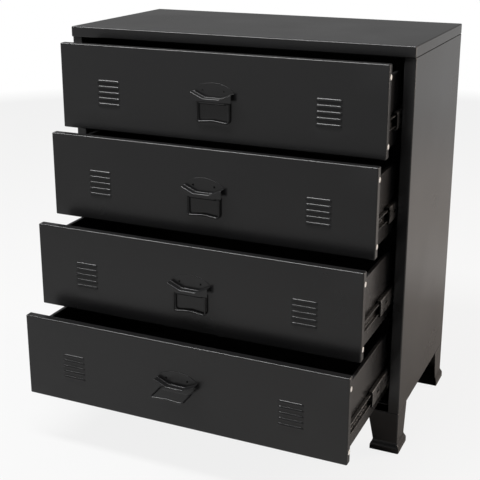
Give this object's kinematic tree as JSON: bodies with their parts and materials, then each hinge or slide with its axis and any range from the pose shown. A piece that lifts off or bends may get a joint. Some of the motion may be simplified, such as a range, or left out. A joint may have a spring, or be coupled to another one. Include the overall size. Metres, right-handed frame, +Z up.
{
  "type": "chest of drawers",
  "caption": "Tall locker-style steel chest with full-width drawers on telescopic slides, swinging bail handles, pressed louvres and flared corner feet.",
  "frame": {"origin": "on the floor under the middle of the carcass's plan, 200 mm behind the front stiles' face", "axes": "+Z up, +X to the chest's right as seen from in front, -Y out of the front, the way the drawers open"},
  "size_m": [0.79, 0.7238, 0.88],
  "materials": {
    "black_powder_coat": "satin fine-textured powder coat",
    "black_slide_steel": "black electrocoated steel",
    "ball_cage_steel": "bright steel strip with balls",
    "pale_plastic": "smooth pale plastic",
    "black_screw": "blackened screw"
  },
  "bodies": {
    "carcass": {"top_panel": "black_powder_coat", "side_panel_right": "black_powder_coat", "side_panel_left": "black_powder_coat", "back_panel": "black_powder_coat", "bottom_panel": "black_powder_coat", "front_rail": "black_powder_coat", "foot_front_right": "black_powder_coat", "foot_front_left": "black_powder_coat", "foot_rear_right": "black_powder_coat", "foot_rear_left": "black_powder_coat", "carcass_screws": "black_screw", "outer_rails_1": "black_slide_steel", "outer_rails_2": "black_slide_steel", "outer_rails_3": "black_slide_steel", "outer_rails_4": "black_slide_steel"},
    "drawer_1": {"drawer_front_1": "black_powder_coat", "edge_caps_1": "pale_plastic", "handle_plate_1": "black_powder_coat", "box_sides_1": "black_powder_coat", "box_back_1": "black_powder_coat", "box_bottom_1": "black_powder_coat", "drawer_fixings_1": "black_screw", "inner_rails_1": "black_slide_steel"},
    "middle_slides_1": {"middle_rails_1": "black_slide_steel", "ball_cages_1": "ball_cage_steel"},
    "bail_swing_1": {"bail_1": "black_powder_coat"},
    "drawer_2": {"drawer_front_2": "black_powder_coat", "edge_caps_2": "pale_plastic", "handle_plate_2": "black_powder_coat", "box_sides_2": "black_powder_coat", "box_back_2": "black_powder_coat", "box_bottom_2": "black_powder_coat", "drawer_fixings_2": "black_screw", "inner_rails_2": "black_slide_steel"},
    "middle_slides_2": {"middle_rails_2": "black_slide_steel", "ball_cages_2": "ball_cage_steel"},
    "bail_swing_2": {"bail_2": "black_powder_coat"},
    "drawer_3": {"drawer_front_3": "black_powder_coat", "edge_caps_3": "pale_plastic", "handle_plate_3": "black_powder_coat", "box_sides_3": "black_powder_coat", "box_back_3": "black_powder_coat", "box_bottom_3": "black_powder_coat", "drawer_fixings_3": "black_screw", "inner_rails_3": "black_slide_steel"},
    "middle_slides_3": {"middle_rails_3": "black_slide_steel", "ball_cages_3": "ball_cage_steel"},
    "bail_swing_3": {"bail_3": "black_powder_coat"},
    "drawer_4": {"drawer_front_4": "black_powder_coat", "edge_caps_4": "pale_plastic", "handle_plate_4": "black_powder_coat", "box_sides_4": "black_powder_coat", "box_back_4": "black_powder_coat", "box_bottom_4": "black_powder_coat", "drawer_fixings_4": "black_screw", "inner_rails_4": "black_slide_steel"},
    "middle_slides_4": {"middle_rails_4": "black_slide_steel", "ball_cages_4": "ball_cage_steel"},
    "bail_swing_4": {"bail_4": "black_powder_coat"}
  },
  "joints": [
    {"name": "drawer_1_slide", "type": "slide", "parent": "carcass", "child": "drawer_1", "axis": [0, -1, 0], "range_m": [-0.09, 0.25]},
    {"name": "middle_slides_1_slide", "type": "slide", "parent": "carcass", "child": "middle_slides_1", "axis": [0, -1, 0], "range_m": [-0.045, 0.125]},
    {"name": "bail_1_hinge", "type": "hinge", "parent": "drawer_1", "child": "bail_swing_1", "pos_m": [0, -0.2955, 0.75613], "axis": [-1, 0, 0], "range_deg": [-3, 90]},
    {"name": "drawer_2_slide", "type": "slide", "parent": "carcass", "child": "drawer_2", "axis": [0, -1, 0], "range_m": [-0.138, 0.202]},
    {"name": "middle_slides_2_slide", "type": "slide", "parent": "carcass", "child": "middle_slides_2", "axis": [0, -1, 0], "range_m": [-0.069, 0.101]},
    {"name": "bail_2_hinge", "type": "hinge", "parent": "drawer_2", "child": "bail_swing_2", "pos_m": [0, -0.3435, 0.56988], "axis": [-1, 0, 0], "range_deg": [-3, 90]},
    {"name": "drawer_3_slide", "type": "slide", "parent": "carcass", "child": "drawer_3", "axis": [0, -1, 0], "range_m": [-0.205, 0.135]},
    {"name": "middle_slides_3_slide", "type": "slide", "parent": "carcass", "child": "middle_slides_3", "axis": [0, -1, 0], "range_m": [-0.1025, 0.0675]},
    {"name": "bail_3_hinge", "type": "hinge", "parent": "drawer_3", "child": "bail_swing_3", "pos_m": [0, -0.4105, 0.38362], "axis": [-1, 0, 0], "range_deg": [-3, 90]},
    {"name": "drawer_4_slide", "type": "slide", "parent": "carcass", "child": "drawer_4", "axis": [0, -1, 0], "range_m": [-0.27, 0.07]},
    {"name": "middle_slides_4_slide", "type": "slide", "parent": "carcass", "child": "middle_slides_4", "axis": [0, -1, 0], "range_m": [-0.135, 0.035]},
    {"name": "bail_4_hinge", "type": "hinge", "parent": "drawer_4", "child": "bail_swing_4", "pos_m": [0, -0.4755, 0.19737], "axis": [-1, 0, 0], "range_deg": [-91, 2]}
  ],
  "couplings": [
    {"joint": "middle_slides_1_slide", "follows": "drawer_1_slide", "ratio": 0.5},
    {"joint": "middle_slides_2_slide", "follows": "drawer_2_slide", "ratio": 0.5},
    {"joint": "middle_slides_3_slide", "follows": "drawer_3_slide", "ratio": 0.5},
    {"joint": "middle_slides_4_slide", "follows": "drawer_4_slide", "ratio": 0.5}
  ]
}
